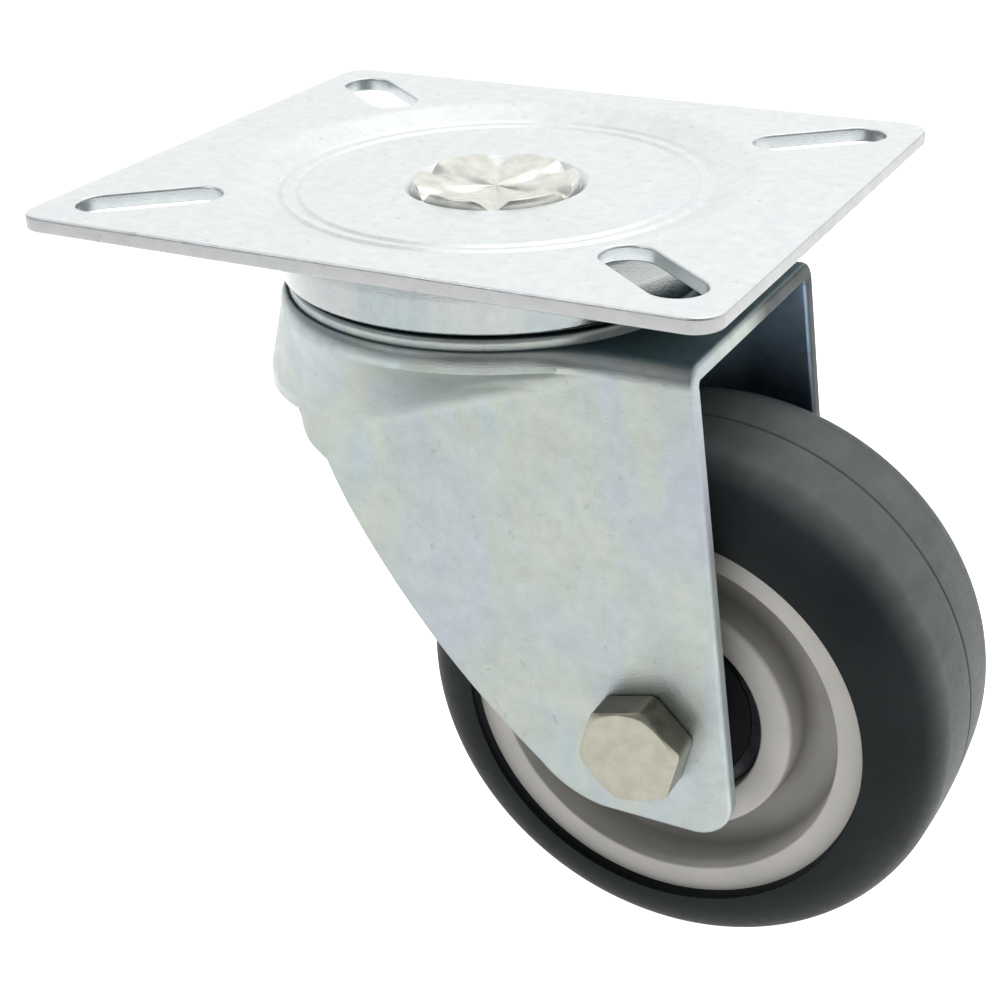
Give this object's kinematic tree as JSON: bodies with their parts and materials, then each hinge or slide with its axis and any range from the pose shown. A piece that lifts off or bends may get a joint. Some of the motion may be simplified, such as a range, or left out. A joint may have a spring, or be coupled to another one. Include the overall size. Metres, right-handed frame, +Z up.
{
  "type": "swivel castor",
  "caption": "Swivel plate castor: slotted top plate, ball-race swivel head, pressed steel fork and a soft-tread wheel on a bolted axle.",
  "frame": {"origin": "centre of the plate's top mounting face, on the swivel axis", "axes": "+Z up, out of the mounting face; +X along the trail, from the swivel axis towards the wheel at rest; Y along the axle"},
  "size_m": [0.1146, 0.081, 0.1049],
  "materials": {
    "plate_zinc": "bright zinc plate",
    "fork_zinc": "bright zinc plate",
    "race_zinc": "polished zinc plate",
    "pin_steel": "upset steel",
    "bolt_zinc": "zinc plate",
    "nut_zinc": "zinc plate",
    "insert_nylon": "plain",
    "sleeve_steel": "drawn tube",
    "bearing_steel": "ground",
    "cage_steel": "pressed",
    "ball_steel": "polished",
    "core_plastic": "moulded",
    "tread_rubber": "moulded",
    "seal_rubber": "moulded"
  },
  "bodies": {
    "plate": {"top_plate": "plate_zinc", "kingpin": "pin_steel", "upper_race": "race_zinc", "lower_race": "race_zinc"},
    "upper_balls": {"upper_ball_01": "ball_steel", "upper_ball_02": "ball_steel", "upper_ball_03": "ball_steel", "upper_ball_04": "ball_steel", "upper_ball_05": "ball_steel", "upper_ball_06": "ball_steel", "upper_ball_07": "ball_steel", "upper_ball_08": "ball_steel", "upper_ball_09": "ball_steel", "upper_ball_10": "ball_steel", "upper_ball_11": "ball_steel", "upper_ball_12": "ball_steel", "upper_ball_13": "ball_steel", "upper_ball_14": "ball_steel", "upper_ball_15": "ball_steel", "upper_ball_16": "ball_steel", "upper_ball_17": "ball_steel", "upper_ball_18": "ball_steel"},
    "lower_balls": {"lower_ball_01": "ball_steel", "lower_ball_02": "ball_steel", "lower_ball_03": "ball_steel", "lower_ball_04": "ball_steel", "lower_ball_05": "ball_steel", "lower_ball_06": "ball_steel", "lower_ball_07": "ball_steel", "lower_ball_08": "ball_steel", "lower_ball_09": "ball_steel", "lower_ball_10": "ball_steel", "lower_ball_11": "ball_steel", "lower_ball_12": "ball_steel", "lower_ball_13": "ball_steel", "lower_ball_14": "ball_steel", "lower_ball_15": "ball_steel", "lower_ball_16": "ball_steel"},
    "fork": {"fork": "fork_zinc", "axle_bolt": "bolt_zinc", "axle_nut": "nut_zinc", "nut_insert": "insert_nylon", "axle_sleeve": "sleeve_steel", "spacer_near": "sleeve_steel", "bearing_inner_near": "bearing_steel", "spacer_far": "sleeve_steel", "bearing_inner_far": "bearing_steel"},
    "wheel": {"wheel_core": "core_plastic", "tyre": "tread_rubber", "bearing_outer_near": "bearing_steel", "seal_outer_near": "seal_rubber", "seal_inner_near": "seal_rubber", "bearing_outer_far": "bearing_steel", "seal_outer_far": "seal_rubber", "seal_inner_far": "seal_rubber"},
    "bearing_rollers": {"bearing_balls_near": "ball_steel", "bearing_cage_near": "cage_steel", "bearing_balls_far": "ball_steel", "bearing_cage_far": "cage_steel"}
  },
  "joints": [
    {"name": "swivel", "type": "hinge", "parent": "plate", "child": "fork", "pos_m": [0, 0, -0.0144], "axis": [0, 0, 1], "continuous": true},
    {"name": "upper_ball_roll", "type": "hinge", "parent": "plate", "child": "upper_balls", "pos_m": [0, 0, -0.0099], "axis": [0, 0, 1], "continuous": true},
    {"name": "lower_ball_roll", "type": "hinge", "parent": "plate", "child": "lower_balls", "pos_m": [0, 0, -0.0175], "axis": [0, 0, 1], "continuous": true},
    {"name": "wheel_spin", "type": "hinge", "parent": "fork", "child": "wheel", "pos_m": [0.03065, 0, -0.06743], "axis": [0, 1, 0], "continuous": true},
    {"name": "bearing_roll", "type": "hinge", "parent": "fork", "child": "bearing_rollers", "pos_m": [0.03065, 0, -0.06743], "axis": [0, 1, 0], "continuous": true}
  ],
  "couplings": [
    {"joint": "upper_ball_roll", "follows": "swivel", "ratio": 0.5},
    {"joint": "lower_ball_roll", "follows": "swivel", "ratio": 0.5},
    {"joint": "bearing_roll", "follows": "wheel_spin", "ratio": 0.6167}
  ]
}
